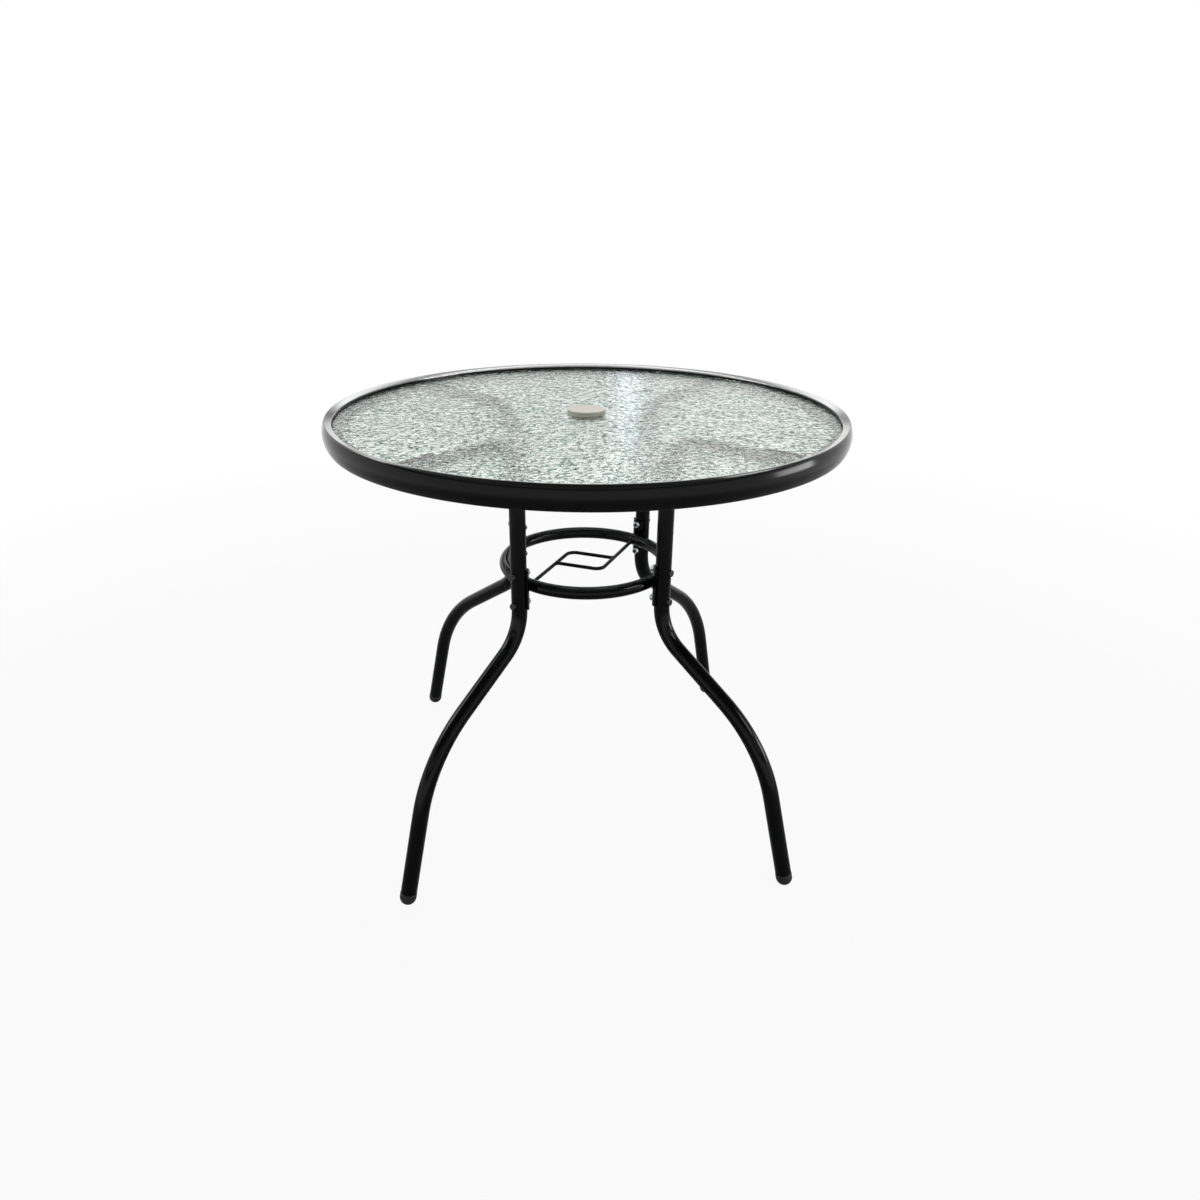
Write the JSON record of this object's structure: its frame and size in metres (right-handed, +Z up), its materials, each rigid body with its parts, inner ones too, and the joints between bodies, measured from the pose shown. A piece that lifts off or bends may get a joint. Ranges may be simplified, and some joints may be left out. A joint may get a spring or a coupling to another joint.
{
  "type": "garden table",
  "caption": "Round garden table: rippled glass top in a rolled steel rim, bent tube legs, brace ring with parasol pole guide, and a capped parasol hole.",
  "frame": {"origin": "on the floor under the middle of the round top", "axes": "+Z up along the parasol hole, -Y towards the front, legs on the diagonals between X and Y"},
  "size_m": [0.7998, 0.7998, 0.7],
  "materials": {
    "black_paint": "gloss black powder coat",
    "rippled_glass": "toughened glass, rippled on its underside",
    "ivory_plastic": "moulded, satin",
    "black_plastic": "moulded, matt",
    "clear_rubber": "soft clear dots",
    "black_steel": "black coated steel",
    "zinc_steel": "bright zinc plate"
  },
  "bodies": {
    "table": {"arm_inserts": "zinc_steel", "brace_bolts": "black_steel", "brace_nuts": "zinc_steel", "brace_ring": "black_paint", "brace_saddle_front_left": "black_paint", "brace_saddle_front_right": "black_paint", "brace_saddle_rear_left": "black_paint", "brace_saddle_rear_right": "black_paint", "end_plugs": "black_plastic", "foot_caps": "black_plastic", "glass_pads": "clear_rubber", "glass_top": "rippled_glass", "guide_rod_left": "black_paint", "guide_rod_right": "black_paint", "leg_front_left": "black_paint", "leg_front_right": "black_paint", "leg_rear_left": "black_paint", "leg_rear_right": "black_paint", "rim_bolts": "black_steel", "rim_hoop": "black_paint", "rim_saddle_front_left": "black_paint", "rim_saddle_front_right": "black_paint", "rim_saddle_rear_left": "black_paint", "rim_saddle_rear_right": "black_paint", "umbrella_grommet": "ivory_plastic"},
    "cap": {"umbrella_cap": "ivory_plastic"}
  },
  "joints": [
    {"name": "cap_lift", "type": "slide", "parent": "table", "child": "cap", "axis": [0, 0, 1], "range_m": [0, 0.3]}
  ]
}
